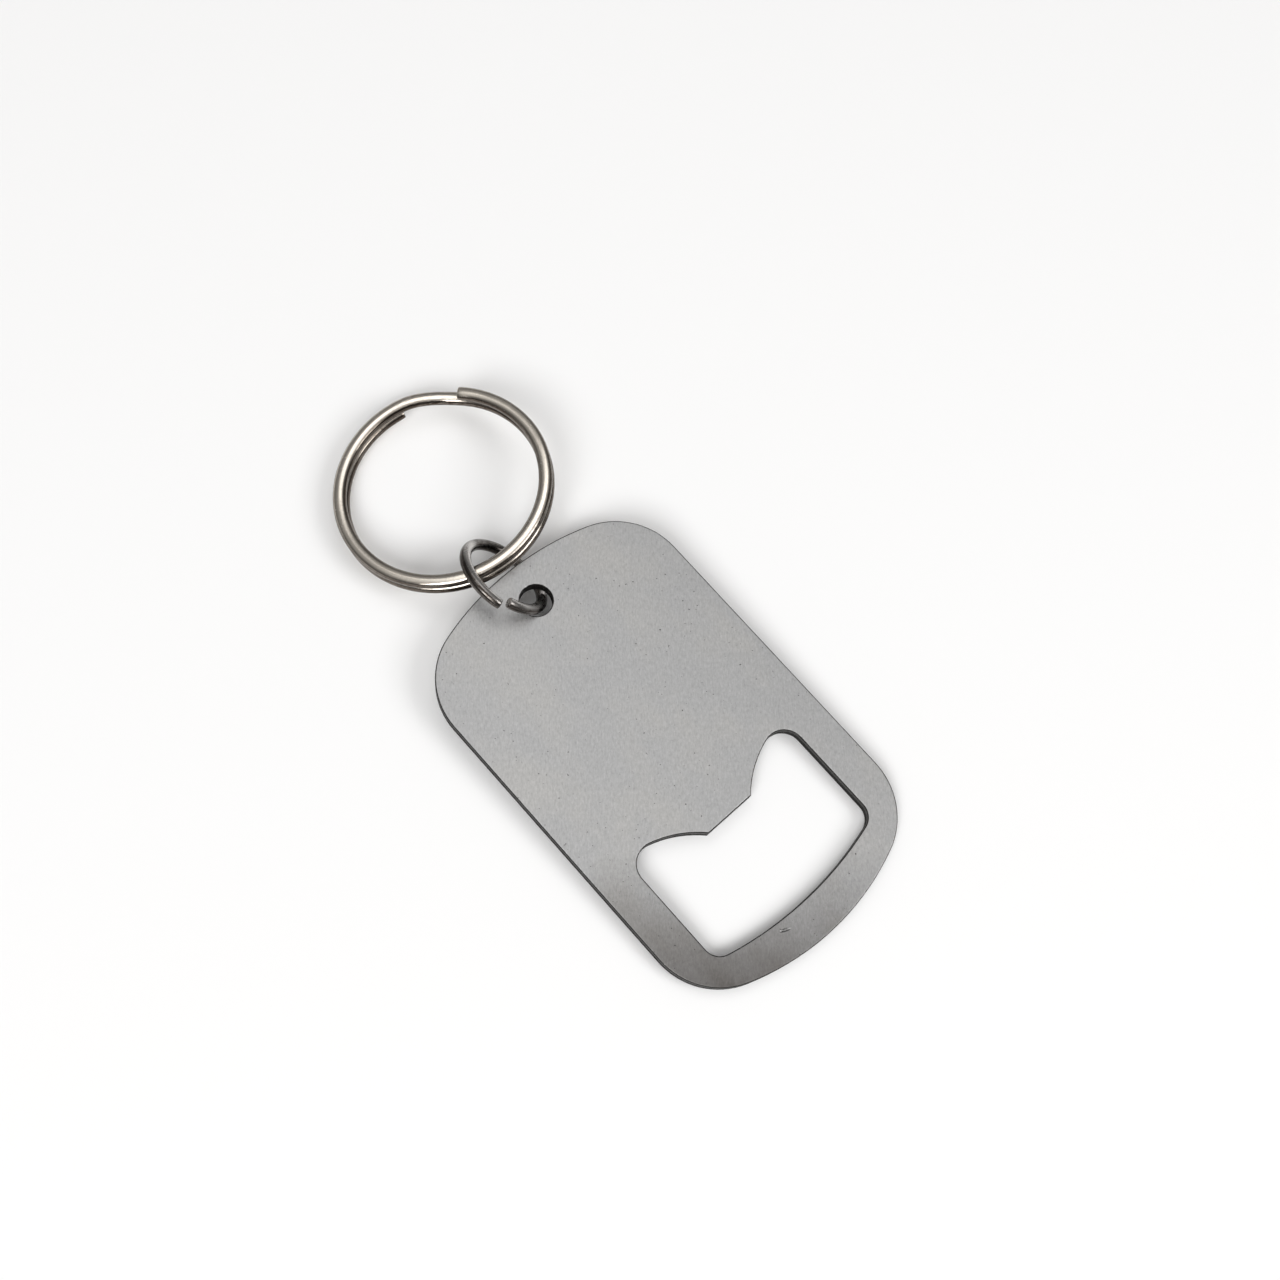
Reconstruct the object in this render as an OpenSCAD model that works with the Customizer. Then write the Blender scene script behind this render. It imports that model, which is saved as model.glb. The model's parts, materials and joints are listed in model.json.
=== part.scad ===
// Keychain bottle opener: a stamped steel plate, a jump ring through its hole, and a split ring
// for keys. Millimetres. The origin is the middle of the tooth's flat lip, halfway through the
// plate. +Y runs along the plate from the lip to the ring end, and +Z comes out of its front face.

/* [Plate] */
// Length of the plate over both bowed ends
plate_length = 50; // [44:0.5:62]
// Width of the plate
plate_width = 30.8; // [28:0.1:38]
// Thickness of the plate
plate_thickness = 1.5; // [1.2:0.1:2]
// Radius of the two corners at the ring end
ring_end_corner = 8.1; // [4:0.1:9.5]
// How far the ring end bows out over the plate's full width
ring_end_bow = 3.9; // [1:0.1:5]
// Radius of the two corners at the opener end
opener_end_corner = 8.1; // [4:0.1:9.5]
// How far the opener end bows out over the plate's full width
opener_end_bow = 4.5; // [1:0.1:5]
// Room left in the hole past the jump ring's wire, which slants through it
hole_room = 0.38; // [0.3:0.02:1]
// Metal left between the hole and the tip of the ring end
hole_edge = 2.6; // [2:0.05:3.4]

/* [Cap opening] */
// Width of the metal left on each side of the opening
side_rim = 4.2; // [3:0.1:6]
// Width of the metal left between the opening and the tip of the opener end
end_rim = 4.1; // [3:0.1:6]
// Depth of the opening below the tooth's lip
opening_depth = 11.4; // [9:0.1:14]
// Height of the two lobes above the tooth's lip
lobe_height = 3.3; // [2.6:0.1:5]
// Radius at the outer top corner of each lobe
lobe_corner = 2.25; // [1.2:0.05:3]
// Width of the tooth's flat lip
lip_width = 6; // [4:0.1:8]
// Radius of the curved flank from the lip up to each lobe
flank_radius = 11.7; // [10:0.1:16]
// How far the opening's far edge bows out over its full width
opening_bow = 1.6; // [0.5:0.1:3]
// Radius of the opening's two far corners
opening_corner = 1.9; // [1:0.1:3]

/* [Jump ring] */
// Diameter of the jump ring's wire
jump_wire = 1.2; // [0.8:0.05:1.5]
// Room inside the jump ring, past the plate's edge and the two coils that it holds
jump_room = 3.65; // [3:0.05:6]
// Space left between the jump ring's cut ends
jump_gap = 0.6; // [0.2:0.1:1.2]
// How far the cut ends are sprung past each other sideways
jump_offset = 0.7; // [0:0.05:0.7]

/* [Split ring] */
// Outside diameter of the split ring
split_outside = 24; // [20:0.5:36]
// Width of the split ring's flattened wire, measured across the ring
split_wire_width = 1.5; // [1:0.05:1.7]
// Height of the wire, measured along the ring's axis
split_wire_height = 1.18; // [0.7:0.02:1.3]
// Shape of the flattened wire's section: 1 is an oval, and less has flatter sides
wire_squareness = 0.85; // [0.5:0.05:1]
// Space between the two coils
coil_space = 0.04; // [0.02:0.01:0.1]
// Angle over which the wire steps from the upper coil down to the lower
step_angle = 34; // [20:1:60]

/* [Rings at rest] */
// How far the jump ring's wire lies from the middle of the plate's hole
hole_shift = 0.61; // [0:0.01:0.65]
// Direction, seen from the front, in which the wire lies from the middle of the hole
hole_side = 250; // [240:1:300]
// Lean of the jump ring out of the vertical
jump_lean = 42.5; // [40:0.5:45]
// Slope up from the hole to the jump ring's centre, seen along its axis
jump_rise = 13; // [11:0.5:15]
// Angle round the jump ring from its lowest point to its cut ends
jump_cut = 217; // [200:1:230]
// Space between the jump ring's inside and the corners of the coils
link_clearance = 0.88; // [0.7:0.02:1]
// Slope up from the jump ring's centre to the coils that it holds, seen along its axis
link_rise = 44.5; // [40:0.5:50]
// Slope of the split ring down from the jump ring to its far side
split_slope = 9.6; // [6:0.1:12]
// Roll of the split ring about the line out from the jump ring
split_roll = 9.8; // [6:0.1:12]
// Turn of the split ring about the vertical
split_yaw = 13; // [6:0.1:16]
// Angle round the split ring from the jump ring to the middle of its step
split_phase = 162; // [150:1:260]

/* [Hidden] */
$fn = 96;

// Places along the plate, from the lip
ring_end_y = plate_length - end_rim - opening_depth;
opener_end_y = -end_rim - opening_depth;
opening_width = plate_width - 2 * side_rim;
past_face = 1;

// The hole, sized for a wire that slants through the thickness of the plate
slant = acos(cos(jump_rise) * cos(jump_lean));
hole_diameter = jump_wire / cos(slant) + plate_thickness * tan(slant) + hole_room;
hole_y = ring_end_y - hole_edge - hole_diameter / 2;

// The wires and what they hold
coil_stack = 2 * split_wire_height + coil_space;
held_length = hole_edge + split_wire_width;
held_height = max(plate_thickness, coil_stack);
jump_inside = norm([held_length, held_height]) + jump_room;
jump_radius = (jump_inside + jump_wire) / 2;
split_radius = (split_outside - split_wire_width) / 2;
coil_diagonal = norm([split_wire_width, coil_stack]);
link_reach = (jump_inside - coil_diagonal) / 2 - link_clearance;

// The jump ring's own directions: outward and level, and up in its plane
jump_out = [0, 1, 0];
jump_up = [-sin(jump_lean), 0, cos(jump_lean)];
hole_pass = [hole_shift * cos(hole_side), hole_y + hole_shift * sin(hole_side), 0];
jump_centre = hole_pass + jump_radius * (cos(jump_rise) * jump_out + sin(jump_rise) * jump_up);
link_point = jump_centre + link_reach * (cos(link_rise) * jump_out + sin(link_rise) * jump_up);

// How finely the wires are drawn
wire_sides = 12;
ring_step = 6;

// The end of a plate or opening: a bowed edge between two rounded corners, its tip at y = reach
module bowed_end(width, reach, bow, corner) {
    half = width / 2;
    bow_radius = (half * half + bow * bow) / (2 * bow);
    bow_y = reach - bow_radius;
    corner_x = half - corner;
    corner_y = bow_y + sqrt(pow(bow_radius - corner, 2) - pow(corner_x, 2));
    meet = [corner_x, corner_y - bow_y] * bow_radius / (bow_radius - corner) + [0, bow_y];
    translate([-half, 0])
        square([width, corner_y]);
    for (side = [-1, 1])
        translate([side * corner_x, corner_y])
            circle(corner);
    polygon([[-corner_x, corner_y], [corner_x, corner_y], meet, [-meet[0], meet[1]]]);
    intersection() {
        translate([0, bow_y])
            circle(bow_radius);
        translate([-meet[0], meet[1]])
            square([2 * meet[0], bow]);
    }
}

// One lobe of the cap opening, above the lip: a curved flank that runs into a rounded corner
module lobe() {
    lip_end = [lip_width / 2, 0];
    corner = [opening_width / 2 - lobe_corner, lobe_height - lobe_corner];
    reach = norm(corner - lip_end);
    ahead = (corner - lip_end) / reach;
    along = (pow(flank_radius, 2) - pow(flank_radius - lobe_corner, 2) + reach * reach) / (2 * reach);
    below = sqrt(pow(flank_radius, 2) - along * along);
    flank = lip_end + along * ahead + below * [ahead[1], -ahead[0]];
    meet = flank + (corner - flank) * flank_radius / (flank_radius - lobe_corner);
    overlap = 0.5;
    translate(corner)
        circle(lobe_corner);
    translate([corner[0], -overlap])
        square([lobe_corner, overlap + corner[1]]);
    polygon([[lip_end[0], -overlap], [corner[0], -overlap], corner, meet, lip_end]);
    intersection() {
        translate(flank)
            circle(flank_radius);
        translate(lip_end)
            square([meet[0] - lip_end[0], lobe_height]);
    }
}

module cap_opening() {
    mirror([0, 1])
        bowed_end(opening_width, opening_depth, opening_bow, opening_corner);
    lobe();
    mirror([1, 0])
        lobe();
}

module plate_outline() {
    middle_y = (ring_end_y + opener_end_y) / 2;
    translate([0, middle_y]) {
        bowed_end(plate_width, plate_length / 2, ring_end_bow, ring_end_corner);
        mirror([0, 1])
            bowed_end(plate_width, plate_length / 2, opener_end_bow, opener_end_corner);
    }
}

// A closed wire: sections[i] is the list of points round it at the i-th place along its length
module wire(sections) {
    sides = len(sections[0]);
    last = len(sections) - 1;
    points = [for (section = sections) each section];
    walls = [
        for (i = [0:last - 1], j = [0:sides - 1])
            let (next = (j + 1) % sides)
                [i * sides + j, i * sides + next, (i + 1) * sides + next, (i + 1) * sides + j]
    ];
    first_cap = [for (j = [sides - 1:-1:0]) j];
    last_cap = [for (j = [0:sides - 1]) last * sides + j];
    polyhedron(points, concat([first_cap], walls, [last_cap]), convexity = 6);
}

// The points round a wire at one angle of its ring; squareness 1 is an ellipse, less is flatter
function wire_section(angle, radius, height, size, squareness) = [
    for (j = [0:wire_sides - 1])
        let (
            turn = 360 * j / wire_sides,
            across = radius + size[0] / 2 * sign(cos(turn)) * pow(abs(cos(turn)), squareness),
            up = height + size[1] / 2 * sign(sin(turn)) * pow(abs(sin(turn)), squareness)
        )
            [across * cos(angle), across * sin(angle), up]
];

// The height of the split ring's wire: upper coil, a smooth step, then lower coil
function coil_height(along) =
    let (
        past = (along - (360 - step_angle)) / step_angle,
        step = min(1, max(0, past)),
        rise = (coil_stack - split_wire_height) / 2
    )
        rise * (1 - 2 * step * step * (3 - 2 * step));

module opener_plate() {
    color([0.70, 0.70, 0.69])
        difference() {
            translate([0, 0, -plate_thickness / 2])
                linear_extrude(plate_thickness)
                    plate_outline();
            translate([0, 0, -plate_thickness / 2 - past_face])
                linear_extrude(plate_thickness + 2 * past_face)
                    cap_opening();
            translate([0, hole_y, -plate_thickness / 2 - past_face])
                cylinder(h = plate_thickness + 2 * past_face, d = hole_diameter);
        }
}

module jump_ring() {
    half_gap = jump_gap / jump_radius * 90 / PI;
    turns = 360 - 2 * half_gap;
    steps = round(turns / ring_step);
    color([0.42, 0.41, 0.40])
        translate(jump_centre)
            rotate([0, 90 - jump_lean, 0])
                wire([
                    for (i = [0:steps])
                        let (run = i / steps)
                            wire_section(
                                jump_cut + half_gap + run * turns,
                                jump_radius,
                                (0.5 - run) * jump_offset,
                                [jump_wire, jump_wire],
                                1
                            )
                ]);
}

module split_ring() {
    turns = 720 - step_angle;
    steps = round(turns / ring_step);
    color([0.62, 0.59, 0.54])
        translate(link_point)
            rotate([-split_slope, -split_roll, -split_yaw])
                translate([0, split_radius, 0])
                    rotate([0, 0, split_phase - 90 - step_angle / 2])
                        wire([
                            for (i = [0:steps])
                                let (along = (1 - i / steps) * turns)
                                    wire_section(
                                        -along,
                                        split_radius,
                                        coil_height(along),
                                        [split_wire_width, split_wire_height],
                                        wire_squareness
                                    )
                        ]);
}

opener_plate();
jump_ring();
split_ring();
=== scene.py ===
# %% [markdown]
# # A keychain bottle opener
#
# A small stamped steel plate hangs from a split key ring by an open jump ring. The plate is flat
# sheet: its shape is all in its outline, its cap mouth and its rolled front edge. The rings are bent
# wire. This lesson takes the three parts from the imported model, gives each one the form that real
# tooling leaves on it, and then builds the metal finishes node by node.

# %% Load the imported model
import json
from math import atan2, cos, degrees, radians, sin
import bpy
from mathutils import Matrix, Vector


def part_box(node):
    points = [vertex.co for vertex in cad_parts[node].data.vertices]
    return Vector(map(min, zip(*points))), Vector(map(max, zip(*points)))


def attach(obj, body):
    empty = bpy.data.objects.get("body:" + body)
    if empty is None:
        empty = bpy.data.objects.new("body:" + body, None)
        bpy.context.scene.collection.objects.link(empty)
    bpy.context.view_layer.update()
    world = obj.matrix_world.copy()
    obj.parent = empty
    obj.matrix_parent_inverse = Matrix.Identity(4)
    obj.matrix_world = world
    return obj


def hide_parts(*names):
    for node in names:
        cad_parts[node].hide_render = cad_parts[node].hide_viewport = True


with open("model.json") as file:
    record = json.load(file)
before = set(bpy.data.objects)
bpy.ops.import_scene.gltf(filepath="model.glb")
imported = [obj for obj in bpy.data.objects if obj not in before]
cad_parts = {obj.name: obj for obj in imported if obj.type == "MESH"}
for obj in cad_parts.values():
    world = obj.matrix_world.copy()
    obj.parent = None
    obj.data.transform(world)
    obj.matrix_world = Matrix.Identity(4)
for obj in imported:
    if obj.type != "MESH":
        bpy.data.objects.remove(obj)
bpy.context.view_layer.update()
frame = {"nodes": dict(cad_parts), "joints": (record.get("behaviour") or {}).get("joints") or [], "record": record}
MM = 0.001

# %% [markdown]
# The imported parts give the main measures: the plate's own box gives its thickness and its two ends,
# a joint gives the jump ring's centre and axis, and the key ring's mount gives the split ring's. So
# the edges, the table and the wires' patterns follow the parts. Only single marks, such as a ding,
# have places of their own.

# %% Measure the parts
plate_low, plate_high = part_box("opener_plate")
jump_low, jump_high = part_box("jump_ring")
thickness = plate_high.z - plate_low.z
joint = {j["name"]: j for j in frame["joints"]}
mount = {m["name"]: m for m in frame["record"]["mounts"]}
jump_centre = Vector(joint["jump_ring_turn"]["pos_m"])
jump_axis = Vector(joint["jump_ring_turn"]["axis"]).normalized()
split_centre = Vector(mount["key_loop"]["pos_m"])
split_axis = Vector(mount["key_loop"]["axis"]).normalized()
print("plate is %.2f mm thick" % (thickness / MM))

# %% [markdown]
# ## The camera
#
# The view is nearly from above, about 16 cm from the part, and rolled so that the plate runs
# down to the right. A camera looks along its own -Z, so its matrix is written from three directions:
# right, up, and back towards the eye. The focus point is the middle of the plate's front face. The
# camera backs away from it by the viewing distance, and then moves left and up by two shares of that
# distance, so that the rings are in the frame too.

# %% Place the camera
VIEW_TURN = radians(-61.515)
VIEW_HEIGHT = radians(71.108)
VIEW_ROLL = radians(20.346)
VIEW_DISTANCE = 0.16495
LENS = 45.0
SENSOR = 36.0
SIDEWAYS = 0.01742
DOWNWARDS = 0.06591
back = Vector((sin(VIEW_TURN) * cos(VIEW_HEIGHT), -cos(VIEW_TURN) * cos(VIEW_HEIGHT), sin(VIEW_HEIGHT)))
level = Vector((cos(VIEW_TURN), sin(VIEW_TURN), 0))
upright = back.cross(level)
right = cos(VIEW_ROLL) * level + sin(VIEW_ROLL) * upright
up = cos(VIEW_ROLL) * upright - sin(VIEW_ROLL) * level
focus = Vector((0, (plate_low.y + plate_high.y) / 2, plate_high.z))
eye = focus - VIEW_DISTANCE * (right * SIDEWAYS - up * DOWNWARDS - back)
camera_data = bpy.data.cameras.new("camera")
camera_data.lens = LENS
camera_data.sensor_width = SENSOR
camera_data.clip_start = MM
camera = bpy.data.objects.new("camera", camera_data)
camera.matrix_world = Matrix.Translation(eye) @ Matrix((right, up, back)).transposed().to_4x4()
bpy.context.scene.collection.objects.link(camera)
bpy.context.scene.camera = camera
print("camera at", [round(c / MM, 1) for c in eye], "mm")

# %% [markdown]
# ## Working on a copy
#
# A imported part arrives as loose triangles, and it has to stay as it is, because the simulation
# shares it. So each part is copied first. Merging the copy's doubles joins its triangles into one
# skin, and a limited dissolve then removes the edges that lie in a flat face, so that a bevel or a
# subdivision sees the real edges only.

# %% A merged copy of a part
MERGE_DISTANCE = 0.0005 * MM


def select_only(piece):
    """Deselects everything, then selects one piece and makes it the active one."""
    bpy.ops.object.select_all(action="DESELECT")
    piece.select_set(True)
    bpy.context.view_layer.objects.active = piece


def merged_copy(node, name, flat_angle):
    """A new piece with a CAD node's shape, in one skin, without the edges inside its flat faces."""
    piece = bpy.data.objects.new(name, frame["nodes"][node].data.copy())
    piece.data.name = name
    piece.data.materials.clear()
    bpy.context.scene.collection.objects.link(piece)
    select_only(piece)
    bpy.ops.object.mode_set(mode="EDIT")
    bpy.ops.mesh.select_all(action="SELECT")
    bpy.ops.mesh.customdata_custom_splitnormals_clear()
    bpy.ops.mesh.remove_doubles(threshold=MERGE_DISTANCE)
    bpy.ops.mesh.dissolve_limited(angle_limit=flat_angle)
    bpy.ops.mesh.select_all(action="DESELECT")
    bpy.ops.object.mode_set(mode="OBJECT")
    print(name, "has", len(piece.data.polygons), "faces")
    return piece


# %% [markdown]
# ## The plate's edges
#
# A press punches the plate out of sheet. The punch drags the metal down as it enters, which leaves
# a soft roll round the front of every edge, and it breaks out of the back with a sharp, thin burr
# that tumbling only just dulls. So the front rim gets a wide bevel and the back rim a narrow one.
# Both rims are picked in code, by the height of their edges.

# %% Roll the front edge and dull the back one


def clear_selection(mesh):
    """Deselects a mesh's faces, edges and points, in object mode."""
    for part in (mesh.polygons, mesh.edges, mesh.vertices):
        part.foreach_set("select", [False] * len(part))


def select_edges(mesh, wanted):
    """Selects a mesh's edges whose two end points pass a test, in object mode, and counts them."""
    clear_selection(mesh)
    for edge in mesh.edges:
        ends = [mesh.vertices[i].co for i in edge.vertices]
        edge.select = wanted(*ends)
    return sum(edge.select for edge in mesh.edges)


def bevel_rim(piece, height, width, segments):
    """Rounds the edges that lie at one height of a plate."""
    near = 0.001 * MM
    count = select_edges(piece.data, lambda a, b: max(abs(a.z - height), abs(b.z - height)) < near)
    bpy.ops.object.mode_set(mode="EDIT")
    bpy.ops.mesh.select_mode(type="EDGE")
    bpy.ops.mesh.bevel(offset=width, segments=segments, profile=0.5, clamp_overlap=False)
    bpy.ops.mesh.select_all(action="DESELECT")
    bpy.ops.object.mode_set(mode="OBJECT")
    print("rounded", count, "edges at", round(height / MM, 2), "mm")


FRONT_ROLL = 0.17 * MM
BACK_ROLL = 0.08 * MM
FLAT_IN_PLATE = radians(0.5)
plate = merged_copy("opener_plate", "stamped_plate", FLAT_IN_PLATE)
bevel_rim(plate, plate_high.z, FRONT_ROLL, 4)
bevel_rim(plate, plate_low.z, BACK_ROLL, 2)

# %% [markdown]
# Smooth shading on such a plate would bend the light across its whole flat face, because that face
# shares its corners with the roll. A Weighted Normal modifier gives each shared corner the
# direction of its largest face, so the flat stays flat and only the roll is shaded round.

# %% Shade the plate
SMOOTH_PLATE = radians(35)
LARGEST_FACE_WINS = 100
select_only(plate)
bpy.ops.object.shade_smooth_by_angle(angle=SMOOTH_PLATE)
bpy.ops.object.modifier_add(type="WEIGHTED_NORMAL")
plate.modifiers[-1].weight = LARGEST_FACE_WINS
plate.modifiers[-1].keep_sharp = True
bpy.ops.object.modifier_apply(modifier=plate.modifiers[-1].name)
print("plate has", len(plate.data.polygons), "faces")

# %% [markdown]
# ## The bent wires
#
# The two rings are swept with few sides, so that they collide cheaply. Their cut ends are real
# faces, left by a cutter: flat, with a small chamfer where the burr was knocked off. The ends are
# found as the only faces with many corners. They are inset twice, close to the rim. Two levels of
# subdivision then round the wire and draw each rim into a small chamfer, but leave the end flat
# inside it, because the inset edges stand close together. Subdivision leaves a twelve-sided wire
# about a twentieth too thin, so the wire is fattened first to make up for it.

# %% Round the wires
WIRE_SIDES = 12
LEFT_BY_SUBDIVISION = 0.9553
SMOOTH_WIRE = radians(50)


def round_wire(piece, wire_radius, chamfer):
    """Chamfers a swept wire's cut ends and subdivides it into a smooth round."""
    mesh = piece.data
    clear_selection(mesh)
    for face in mesh.polygons:
        face.select = len(face.vertices) == WIRE_SIDES
    ends = sum(face.select for face in mesh.polygons)
    bpy.ops.object.mode_set(mode="EDIT")
    bpy.ops.mesh.select_mode(type="FACE")
    bpy.ops.mesh.inset(thickness=chamfer, depth=0)
    bpy.ops.mesh.inset(thickness=chamfer / 3, depth=0)
    bpy.ops.mesh.select_all(action="SELECT")
    bpy.ops.transform.shrink_fatten(value=(1 / LEFT_BY_SUBDIVISION - 1) * wire_radius)
    bpy.ops.mesh.select_all(action="DESELECT")
    bpy.ops.object.mode_set(mode="OBJECT")
    bpy.ops.object.modifier_add(type="SUBSURF")
    piece.modifiers[-1].levels = 2
    piece.modifiers[-1].render_levels = 2
    bpy.ops.object.modifier_apply(modifier=piece.modifiers[-1].name)
    bpy.ops.object.shade_smooth_by_angle(angle=SMOOTH_WIRE)
    print(piece.name, "has", ends, "cut ends and", len(mesh.polygons), "faces")


JUMP_WIRE = 1.2 * MM
SPLIT_WIRE = 1.3 * MM
CHAMFER = 0.1 * MM
FLAT_IN_WIRE = radians(0.2)
jump_ring = merged_copy("jump_ring", "open_jump_ring", FLAT_IN_WIRE)
round_wire(jump_ring, JUMP_WIRE / 2, CHAMFER)
split_ring = merged_copy("split_ring", "coiled_split_ring", FLAT_IN_WIRE)
round_wire(split_ring, SPLIT_WIRE / 2, CHAMFER)

# %% [markdown]
# ## A few words for nodes
#
# A finish is a small graph of nodes. A few helpers keep each graph readable: two of them add a node
# and join two sockets, and the others build on those to make noise, spots, blends and bumps. The
# patterns lie on the object's own coordinates. Object coordinates are in metres and ride with the
# part, so a pattern has a true size and doesn't slide when a ring swings.

# %% Helpers for finishes


class Finish:
    """A material whose nodes are added one at a time."""

    def __init__(self, name):
        self.material = bpy.data.materials.new(name)
        self.material.use_nodes = True
        self.tree = self.material.node_tree
        self.tree.nodes.clear()
        self.shader = self.add("ShaderNodeBsdfPrincipled")
        output = self.add("ShaderNodeOutputMaterial")
        self.join(self.shader.outputs["BSDF"], output.inputs["Surface"])
        self.place = self.add("ShaderNodeTexCoord").outputs["Object"]

    def add(self, kind, values=None, **settings):
        """Adds a node, sets its own settings, and sets its input values by name or number."""
        node = self.tree.nodes.new(kind)
        for key, value in settings.items():
            setattr(node, key, value)
        for key, value in (values or {}).items():
            node.inputs[key].default_value = value
        return node

    def join(self, source, target):
        self.tree.links.new(source, target)

    def math(self, operation, first, second=0.0, clamp=False):
        """The result of one sum on sockets or plain numbers."""
        node = self.add("ShaderNodeMath", operation=operation, use_clamp=clamp)
        for socket, value in zip(node.inputs, (first, second)):
            if isinstance(value, (int, float)):
                socket.default_value = value
            else:
                self.join(value, socket)
        return node.outputs["Value"]

    def turned(self, centre, turn):
        """The object's coordinates from a centre, turned so that Z is a ring's axis."""
        moved = self.add("ShaderNodeMapping", {"Location": -centre}, vector_type="POINT")
        self.join(self.place, moved.inputs["Vector"])
        spun = self.add("ShaderNodeMapping", {"Rotation": turn}, vector_type="POINT")
        self.join(moved.outputs["Vector"], spun.inputs["Vector"])
        return spun.outputs["Vector"]

    def noise(self, per_metre, detail=3.0, roughness=0.55, vector=None, distortion=0.0, turn=0.0):
        """A noise pattern with its own number of waves in a metre along X, Y and Z, which are
        first turned about Z."""
        spun = self.add("ShaderNodeMapping", {"Rotation": (0, 0, turn)}, vector_type="POINT")
        self.join(vector or self.place, spun.inputs["Vector"])
        mapping = self.add("ShaderNodeMapping", {"Scale": per_metre}, vector_type="POINT")
        self.join(spun.outputs["Vector"], mapping.inputs["Vector"])
        values = {"Scale": 1.0, "Detail": detail, "Roughness": roughness, "Distortion": distortion}
        node = self.add("ShaderNodeTexNoise", values)
        self.join(mapping.outputs["Vector"], node.inputs["Vector"])
        return node.outputs["Fac"]

    def spot(self, centre, half_length, half_width, turn):
        """A value that is 1 inside a small oval on the front face, and fades to 0 at its edge."""
        moved = self.add("ShaderNodeMapping", {"Location": -Vector(centre)}, vector_type="POINT")
        self.join(self.place, moved.inputs["Vector"])
        spun = self.add("ShaderNodeMapping", {"Rotation": (0, 0, -turn)}, vector_type="POINT")
        self.join(moved.outputs["Vector"], spun.inputs["Vector"])
        shrink = {"Scale": (1 / half_length, 1 / half_width, 1 / half_length)}
        oval = self.add("ShaderNodeMapping", shrink, vector_type="POINT")
        self.join(spun.outputs["Vector"], oval.inputs["Vector"])
        reach = self.add("ShaderNodeVectorMath", operation="LENGTH")
        self.join(oval.outputs["Vector"], reach.inputs[0])
        return self.span(reach.outputs["Value"], 1.0, 0.4)

    def span(self, value, low, high, to_low=0.0, to_high=1.0):
        """Stretches a value from one range to another, and stops at its ends."""
        values = {"From Min": low, "From Max": high, "To Min": to_low, "To Max": to_high}
        node = self.add("ShaderNodeMapRange", values, clamp=True)
        self.join(value, node.inputs["Value"])
        return node.outputs["Result"]

    def blend(self, share, first, second):
        """A colour that goes from the first to the second as the share goes from 0 to 1."""
        node = self.add("ShaderNodeMix", data_type="RGBA")
        for socket, value in ((node.inputs[0], share), (node.inputs[6], first), (node.inputs[7], second)):
            if isinstance(value, tuple):
                socket.default_value = (*value, 1.0)
            elif isinstance(value, float):
                socket.default_value = value
            else:
                self.join(value, socket)
        return node.outputs[2]

    def bump(self, height, depth, strength=1.0, over=None):
        """Turns a height pattern into a bump of a true depth, over another bump if one is given."""
        node = self.add("ShaderNodeBump", {"Strength": strength, "Distance": depth})
        self.join(height, node.inputs["Height"])
        if over:
            self.join(over, node.inputs["Normal"])
        return node.outputs["Normal"]


print("finish helpers ready")

# %% [markdown]
# ## Tumbled steel
#
# The plate was rolled, punched and tumbled with grit, and it was never polished. Rolling leaves a
# fine short grain, which lies aslant on this plate, because it was punched that way out of the
# sheet. Tumbling dulls it with scuffs, and a few dark pits are left where the mill scale held on.
# The metal is a neutral middle grey. Towards one corner of the opener end its colour is painted
# browner and darker: this is painted shade, which stands in for the light falling off towards that
# end. The grain, the scuffs and the pits are each a noise of its own size, and a slow, cloudy noise
# makes the edge of the painted shade ragged.

# %% Colour of the plate's faces
TUMBLED = (0.425, 0.426, 0.428)
HANDLED = (0.43, 0.427, 0.421)
# Painted shade: this dark brown is blended in towards one corner of the opener end, for the falling light.
CORNER_SHADE_COLOUR = (0.055, 0.046, 0.039)
PITTED = (0.09, 0.085, 0.08)
GRAIN_TURN = radians(40)
SHADED_CORNER = (-0.614, -0.729, 0)
SHADE_STARTS = 4 * MM
SHADE_FULL = 20 * MM
SHADE_RAGGED = 2.5 * MM
face_finish = Finish("tumbled_steel")
grain = face_finish.noise((6000, 1500, 1500), detail=4, roughness=0.75, turn=GRAIN_TURN)
scuffs = face_finish.noise((4200, 3000, 3000), detail=4, roughness=0.75, distortion=0.4,
                           turn=GRAIN_TURN)
clouds = face_finish.noise((170, 110, 150), detail=3)
pits = face_finish.noise((4200, 3600, 3600), detail=1, roughness=0.4)
pitted = face_finish.span(pits, 0.75, 0.80, 0.0, 0.8)
towards_corner = face_finish.add("ShaderNodeVectorMath", {1: SHADED_CORNER}, operation="DOT_PRODUCT")
face_finish.join(face_finish.place, towards_corner.inputs[0])
ragged = face_finish.math("ADD", towards_corner.outputs["Value"],
                          face_finish.span(clouds, 0.2, 0.8, -SHADE_RAGGED, SHADE_RAGGED))
# Painted shade: the plate's colour darkens towards the opener-end corner.
corner_shade = face_finish.span(ragged, SHADE_STARTS, SHADE_FULL)
unshaded = face_finish.blend(face_finish.span(clouds, 0.45, 0.65), TUMBLED, HANDLED)
colour = face_finish.blend(corner_shade, unshaded, CORNER_SHADE_COLOUR)
MOTTLE = 0.16
mottle = face_finish.math("ADD", face_finish.span(grain, 0.25, 0.75, -MOTTLE, MOTTLE),
                          face_finish.span(scuffs, 0.25, 0.75, -MOTTLE, MOTTLE))
mottle = face_finish.math("ADD", mottle, face_finish.span(clouds, 0.25, 0.75, 0.96, 1.04))
tinted = face_finish.add("ShaderNodeVectorMath", operation="SCALE")
face_finish.join(colour, tinted.inputs[0])
face_finish.join(mottle, tinted.inputs["Scale"])
colour = face_finish.blend(pitted, tinted.outputs["Vector"], PITTED)
face_finish.join(colour, face_finish.shader.inputs["Base Color"])
face_finish.shader.inputs["Metallic"].default_value = 1.0
print("face colour has", len(face_finish.tree.nodes), "nodes")

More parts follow.
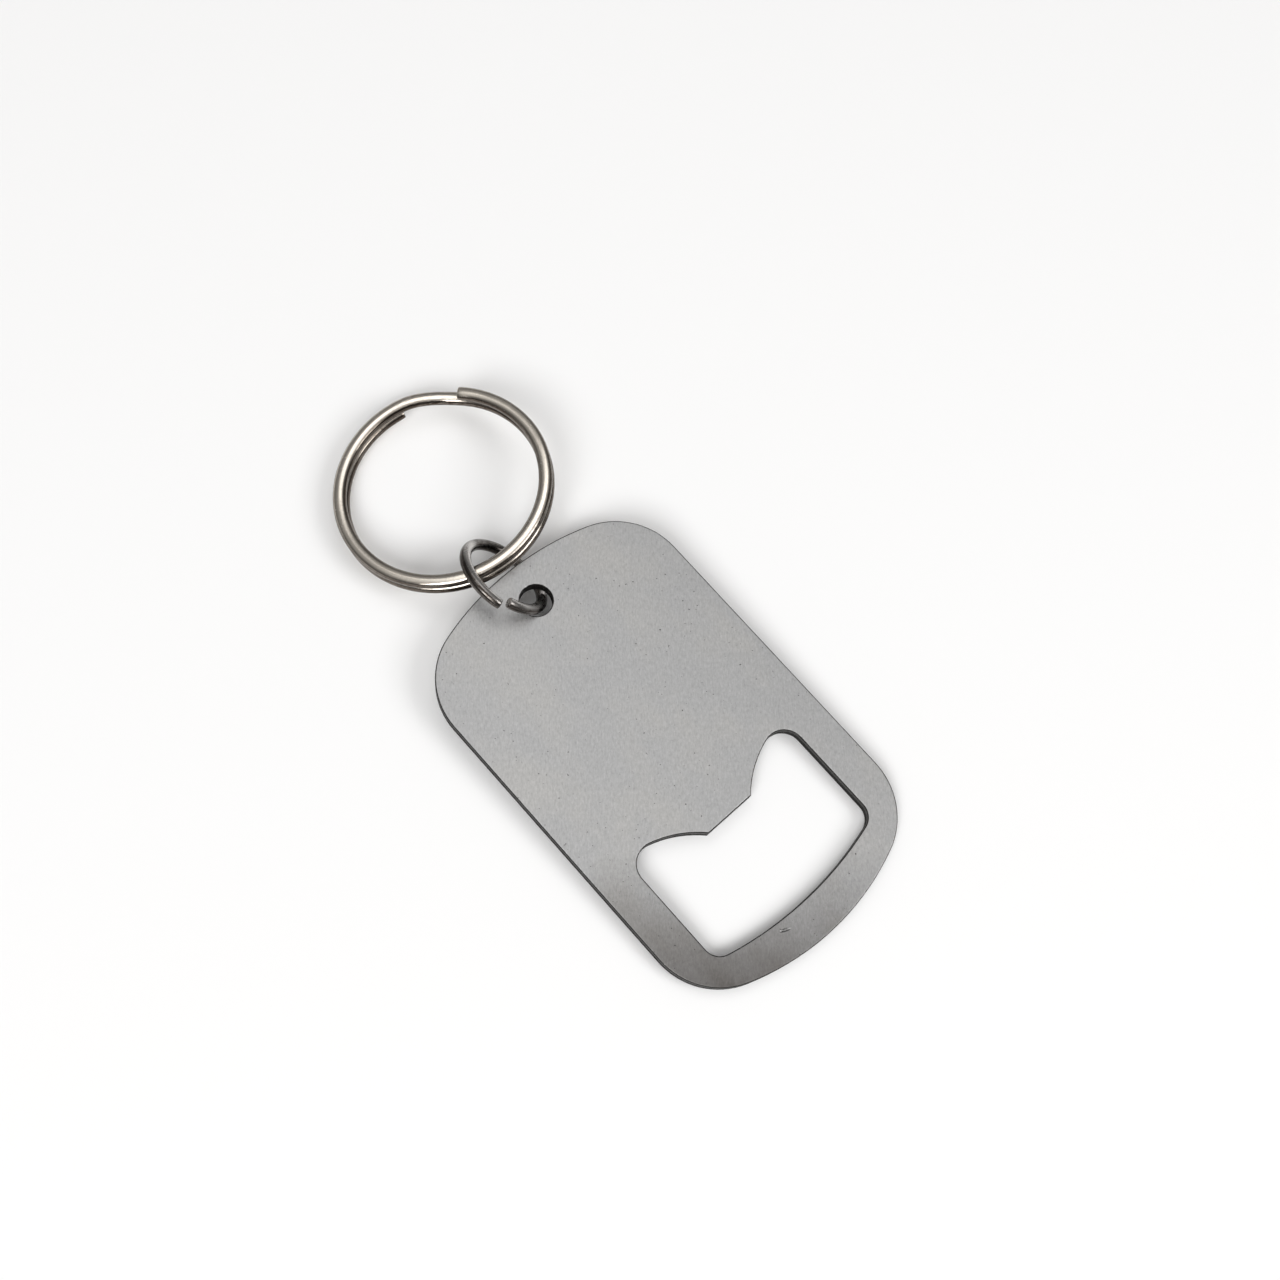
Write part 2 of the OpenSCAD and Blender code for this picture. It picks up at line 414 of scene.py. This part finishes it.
# %% [markdown]
# Gloss and depth come from the same marks as the colour, so that they agree: where a scuff is pale
# it is also rougher and stands a little higher, and a pit is darker, duller and sunk into the sheet.
# Two single marks are added with bump alone, because both are shallow. One is a short ding in the
# rim beyond the mouth, and the other is a thin scratch at the outer corner of a lobe.

# %% Gloss and depth of the plate's faces
SMOOTHEST = 0.36
ROUGHEST = 0.50
DING_PLACE = (-3.86 * MM, -12.25 * MM, plate_high.z)
DING_TURN = radians(-25)
DING_DEPTH = 0.09 * MM
SCRATCH_PLACE = (10.95 * MM, 1.89 * MM, plate_high.z)
SCRATCH_TURN = radians(-67)
SCRATCH_DEPTH = 0.03 * MM
PIT_DEPTH = 0.03 * MM
rough = face_finish.math("ADD", face_finish.span(scuffs, 0.3, 0.7, SMOOTHEST, ROUGHEST),
                         face_finish.math("MULTIPLY", pitted, 0.3))
face_finish.join(rough, face_finish.shader.inputs["Roughness"])
relief = face_finish.bump(grain, 0.010 * MM, 0.8)
relief = face_finish.bump(scuffs, 0.012 * MM, 0.8, over=relief)
relief = face_finish.bump(face_finish.math("SUBTRACT", 1.0, pitted), PIT_DEPTH, 0.8, over=relief)
ding = face_finish.spot(DING_PLACE, 0.65 * MM, 0.17 * MM, DING_TURN)
relief = face_finish.bump(face_finish.math("SUBTRACT", 1.0, ding), DING_DEPTH, 1.0, over=relief)
scratch = face_finish.spot(SCRATCH_PLACE, 1.0 * MM, 0.07 * MM, SCRATCH_TURN)
relief = face_finish.bump(face_finish.math("SUBTRACT", 1.0, scratch), SCRATCH_DEPTH, 1.0, over=relief)
face_finish.join(relief, face_finish.shader.inputs["Normal"])
print("face finish has", len(face_finish.tree.nodes), "nodes")

# %% [markdown]
# ## Sheared edge
#
# The plate's walls show how a punch cuts: the two fifths below the front are burnished by the
# punch's side, with fine streaks straight through the sheet, and the rest is torn and duller. Both
# are painted nearly black, which is painted shade: it gives the walls the darkness of the shade
# they stand in. The walls and most of each rolled edge are told from the faces by their normals,
# so the finish follows the form, and the painted shade also covers most of the roll, where it paints
# out the light line the roll would mirror.

# %% Finish for the plate's walls
# Painted shade: both wall colours are nearly black, the darkness of shade, not the grey of cut steel.
BURNISHED_PAINTED_DARK = (0.052, 0.05, 0.048)
TORN_PAINTED_DARK = (0.024, 0.023, 0.022)
STREAK_REACH = 0.12 * MM
wall_finish = Finish("sheared_steel_painted_dark")
streaks = wall_finish.noise((6500, 6500, 350), detail=3, roughness=0.6)
torn_grain = wall_finish.noise((3500, 3500, 3500), detail=5, roughness=0.8)
depth = wall_finish.add("ShaderNodeSeparateXYZ")
wall_finish.join(wall_finish.place, depth.inputs["Vector"])
break_line = wall_finish.math("ADD", depth.outputs["Z"],
                              wall_finish.span(streaks, 0.25, 0.75, -STREAK_REACH, STREAK_REACH))
BREAK_LOW = 0.12 * MM
BREAK_HIGH = 0.22 * MM
burnish = wall_finish.span(break_line, BREAK_LOW, BREAK_HIGH)
wall_painted_shade = wall_finish.blend(burnish, TORN_PAINTED_DARK, BURNISHED_PAINTED_DARK)
wall_tint = wall_finish.add("ShaderNodeVectorMath", operation="SCALE")
wall_finish.join(wall_painted_shade, wall_tint.inputs[0])
wall_finish.join(wall_finish.span(streaks, 0.2, 0.8, 0.7, 1.3), wall_tint.inputs["Scale"])
wall_finish.join(wall_tint.outputs["Vector"], wall_finish.shader.inputs["Base Color"])
wall_finish.shader.inputs["Metallic"].default_value = 1.0
wall_finish.join(wall_finish.span(burnish, 0.0, 1.0, 0.75, 0.50), wall_finish.shader.inputs["Roughness"])
wall_relief = wall_finish.bump(torn_grain, 0.03 * MM, 0.9)
wall_relief = wall_finish.bump(streaks, 0.015 * MM, 0.9, over=wall_relief)
wall_finish.join(wall_relief, wall_finish.shader.inputs["Normal"])
print("wall finish has", len(wall_finish.tree.nodes), "nodes")

# %% Give the plate its two finishes
plate.data.materials.append(face_finish.material)
plate.data.materials.append(wall_finish.material)
# Painted shade: faces tilted more than this from flat, most of the rolled edge too, take the nearly black wall
# colour.
STEEP = cos(radians(25))
for face in plate.data.polygons:
    face.material_index = int(abs(face.normal.z) < STEEP)
print("walls:", sum(face.material_index for face in plate.data.polygons), "faces")

# %% [markdown]
# ## Drawn wire
#
# Both rings are wire pulled through a die, so every mark on them runs along the wire. Seen from a
# ring's centre, such a mark keeps its distance from the axis and its height. So the pattern is laid
# on those two numbers, which a few sums on the turned coordinates give, and on a slow third one
# that goes round the ring and lets the marks start and stop. The inner and outer sides of each wire
# are painted dark: this is painted shade, for the light falling off round a round wire. At the jump
# ring's outer end the wire is painted dark all round, which is painted shade too.

# %% Finish for drawn wire


def drawn_wire(name, centre, axis, section, light, dark, gloss, streak_depth, patch=None):
    """A metal finish whose marks run round a ring, along its wire, and whose sides are painted dark
    as painted shade. section is the middle radius of the ring and half the width of its wire, and
    patch is the middle and the radius of a place where the painted shade goes all round the wire."""
    finish = Finish(name)
    turn = axis.rotation_difference(Vector((0, 0, 1))).to_euler()
    place = finish.add("ShaderNodeSeparateXYZ")
    finish.join(finish.turned(centre, turn), place.inputs["Vector"])
    x, y, z = (place.outputs[letter] for letter in "XYZ")
    distance = finish.math("SQRT", finish.math("ADD", finish.math("MULTIPLY", x, x),
                                               finish.math("MULTIPLY", y, y)))
    round_ring = finish.math("ARCTAN2", y, x)
    wire_place = finish.add("ShaderNodeCombineXYZ")
    finish.join(distance, wire_place.inputs["X"])
    finish.join(finish.math("MULTIPLY", round_ring, MM), wire_place.inputs["Y"])
    finish.join(z, wire_place.inputs["Z"])
    lines = finish.noise((9000, 1600, 9000), detail=3, roughness=0.6, vector=wire_place.outputs["Vector"])
    specks = finish.noise((2600, 2600, 2600), detail=4, roughness=0.7)
    wear = finish.noise((420, 420, 420), detail=2)
    middle, half_width = section
    across = finish.math("ABSOLUTE", finish.math("SUBTRACT", distance, middle))
    # Painted shade: the wire darkens from its middle towards its inner and outer sides.
    wire_shade = finish.span(across, 0.35 * half_width, 0.85 * half_width)
    marks = finish.math("ADD", finish.span(lines, 0.3, 0.7, -0.25, 0.12),
                        finish.span(specks, 0.5, 0.8, 0.0, 0.25))
    # Painted shade: inside the patch the wire is darkened all round.
    if patch:
        reach = finish.add("ShaderNodeVectorMath", operation="DISTANCE")
        finish.join(finish.place, reach.inputs[0])
        reach.inputs[1].default_value = patch[0]
        spread = finish.span(reach.outputs["Value"], patch[1], 0.6 * patch[1], 0.0, 0.9)
        wire_shade = finish.math("MAXIMUM", wire_shade, spread)
    shade = finish.math("ADD", wire_shade, marks, clamp=True)
    finish.join(finish.blend(shade, light, dark), finish.shader.inputs["Base Color"])
    finish.shader.inputs["Metallic"].default_value = 1.0
    rough = finish.math("ADD", finish.span(wear, 0.3, 0.7, gloss, gloss + 0.1),
                        finish.span(specks, 0.5, 0.8, 0.0, 0.15))
    finish.join(rough, finish.shader.inputs["Roughness"])
    relief = finish.bump(lines, streak_depth, 0.7)
    relief = finish.bump(specks, streak_depth, 0.5, over=relief)
    finish.join(relief, finish.shader.inputs["Normal"])
    print(name, "has", len(finish.tree.nodes), "nodes")
    return finish.material


JUMP_SECTION = (4.8 * MM, JUMP_WIRE / 2)
SPLIT_SECTION = (11.25 * MM, 0.75 * MM)
# Painted shade: the place where the jump ring's outer end is darkened all round.
SHADED_END = (Vector((0.4, 38.6, -0.6)) * MM, 3.4 * MM)
GREY_WIRE = (0.66, 0.64, 0.62)
# Painted shade: this dark colour, and the nickel one two lines below, darken the wires' sides.
GREY_WIRE_SHADE = (0.055, 0.046, 0.039)
NICKEL = (0.97, 0.90, 0.80)
NICKEL_WIRE_SHADE = (0.075, 0.058, 0.046)
grey_wire = drawn_wire("grey_drawn_wire", jump_centre, jump_axis, JUMP_SECTION,
                       GREY_WIRE, GREY_WIRE_SHADE, 0.20, 0.004 * MM, patch=SHADED_END)
nickel_wire = drawn_wire("nickel_plated_wire", split_centre, split_axis, SPLIT_SECTION,
                         NICKEL, NICKEL_WIRE_SHADE, 0.13, 0.002 * MM)
jump_ring.data.materials.append(grey_wire)
split_ring.data.materials.append(nickel_wire)

# %% [markdown]
# ## Floor and light
#
# The part lies on a pale table. Its plate rests on the opener end, and the rings hold the other
# end up by the thickness of their wires, so the table is tilted a little in the part's own frame.
# The tilt comes from the lowest point of the jump ring and the plate's back edge.

# %% Lay the table
rise = plate_low.z - jump_low.z
run = (jump_low.y + jump_high.y) / 2 - plate_low.y
table_tilt = -atan2(rise, run)
TABLE_SIZE = 2.0
bpy.ops.object.select_all(action="DESELECT")
bpy.ops.mesh.primitive_plane_add(size=TABLE_SIZE)
table = bpy.context.active_object
table.name = "table"
slope = Matrix.Rotation(table_tilt, 4, "X")
table.data.transform(Matrix.Translation((0, plate_low.y, plate_low.z)) @ slope)
PALE = (0.93, 0.93, 0.93, 1)
paper = Finish("pale_table")
paper.shader.inputs["Base Color"].default_value = PALE
paper.shader.inputs["Roughness"].default_value = 0.7
table.data.materials.append(paper.material)
print("table tilts %.2f degrees" % degrees(table_tilt))

# %% [markdown]
# Metal shows what stands round it. A broad soft light hangs high beyond the ring end, where the
# plate mirrors some of it to the eye, so the plate is bright there and falls off towards the opener
# end. Two stronger lights stand further off at the other end, left and right, and whiten the table.
# They hang high, so that the plate doesn't glare in a low view from the ring end.

# %% Hang the lights


def soft_light(name, place, aim, size, power):
    """A square area light at a place, turned to an aim point."""
    data = bpy.data.lights.new(name, "AREA")
    data.size = size
    data.energy = power
    light = bpy.data.objects.new(name, data)
    light.location = place
    light.rotation_euler = (Vector(aim) - Vector(place)).to_track_quat("-Z", "Y").to_euler()
    bpy.context.scene.collection.objects.link(light)


soft_light("overhead", (0.08, 0.20, 0.55), (0, 0.01, 0), 0.40, 0.36)
soft_light("left_fill", (-0.75, -0.30, 0.90), (0, 0.02, 0), 0.60, 8.0)
soft_light("right_fill", (0.40, -0.80, 0.90), (0, 0.02, 0), 0.60, 6.2)

# %% [markdown]
# The sky is bright overhead and darker lower down, and that darker band gives the round wires the
# lines that make them look like metal. Behind the table hangs a plain pale backdrop. It is a second
# background, which only the camera's own rays find, so the metal doesn't mirror it.

# %% Paint the sky and the backdrop
SKY = ((0.0, 0.30), (0.35, 0.12), (0.70, 0.22), (0.96, 0.78))
SKY_TINT = (1.0, 0.985, 0.97)
BACKDROP = (0.80, 0.80, 0.80, 1)
world = bpy.data.worlds.new("studio")
bpy.context.scene.world = world
world.use_nodes = True
sky = world.node_tree
sky.nodes.clear()
sky_out = sky.nodes.new("ShaderNodeOutputWorld")
sky_light = sky.nodes.new("ShaderNodeBackground")
sky_place = sky.nodes.new("ShaderNodeTexCoord")
sky_split = sky.nodes.new("ShaderNodeSeparateXYZ")
sky_ramp = sky.nodes.new("ShaderNodeValToRGB")
sky.links.new(sky_place.outputs["Generated"], sky_split.inputs["Vector"])
sky.links.new(sky_split.outputs["Z"], sky_ramp.inputs["Fac"])
sky.links.new(sky_ramp.outputs["Color"], sky_light.inputs["Color"])
backdrop = sky.nodes.new("ShaderNodeBackground")
backdrop.inputs["Color"].default_value = BACKDROP
sky_rays = sky.nodes.new("ShaderNodeLightPath")
sky_mix = sky.nodes.new("ShaderNodeMixShader")
sky.links.new(sky_rays.outputs["Is Camera Ray"], sky_mix.inputs["Fac"])
sky.links.new(sky_light.outputs["Background"], sky_mix.inputs[1])
sky.links.new(backdrop.outputs["Background"], sky_mix.inputs[2])
sky.links.new(sky_mix.outputs["Shader"], sky_out.inputs["Surface"])
bands = sky_ramp.color_ramp.elements
while len(bands) < len(SKY):
    bands.new(1.0)
for band, (height, level) in zip(bands, SKY):
    band.position = height
    band.color = (*(level * share for share in SKY_TINT), 1)
bpy.context.scene.view_settings.view_transform = "Standard"
print("sky has", len(bands), "bands")

# %% [markdown]
# ## Handing over
#
# Each finished piece stands for its CAD node and rides on that node's body.

# %% Tie the pieces to the bodies
for piece, node, body, slot in (
    (plate, "opener_plate", "plate", "plate_steel"),
    (jump_ring, "jump_ring", "jump_ring", "jump_ring_steel"),
    (split_ring, "split_ring", "split_ring", "split_ring_nickel"),
):
    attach(piece, body)
    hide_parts(node)
    print(piece.name, "rides on", body)
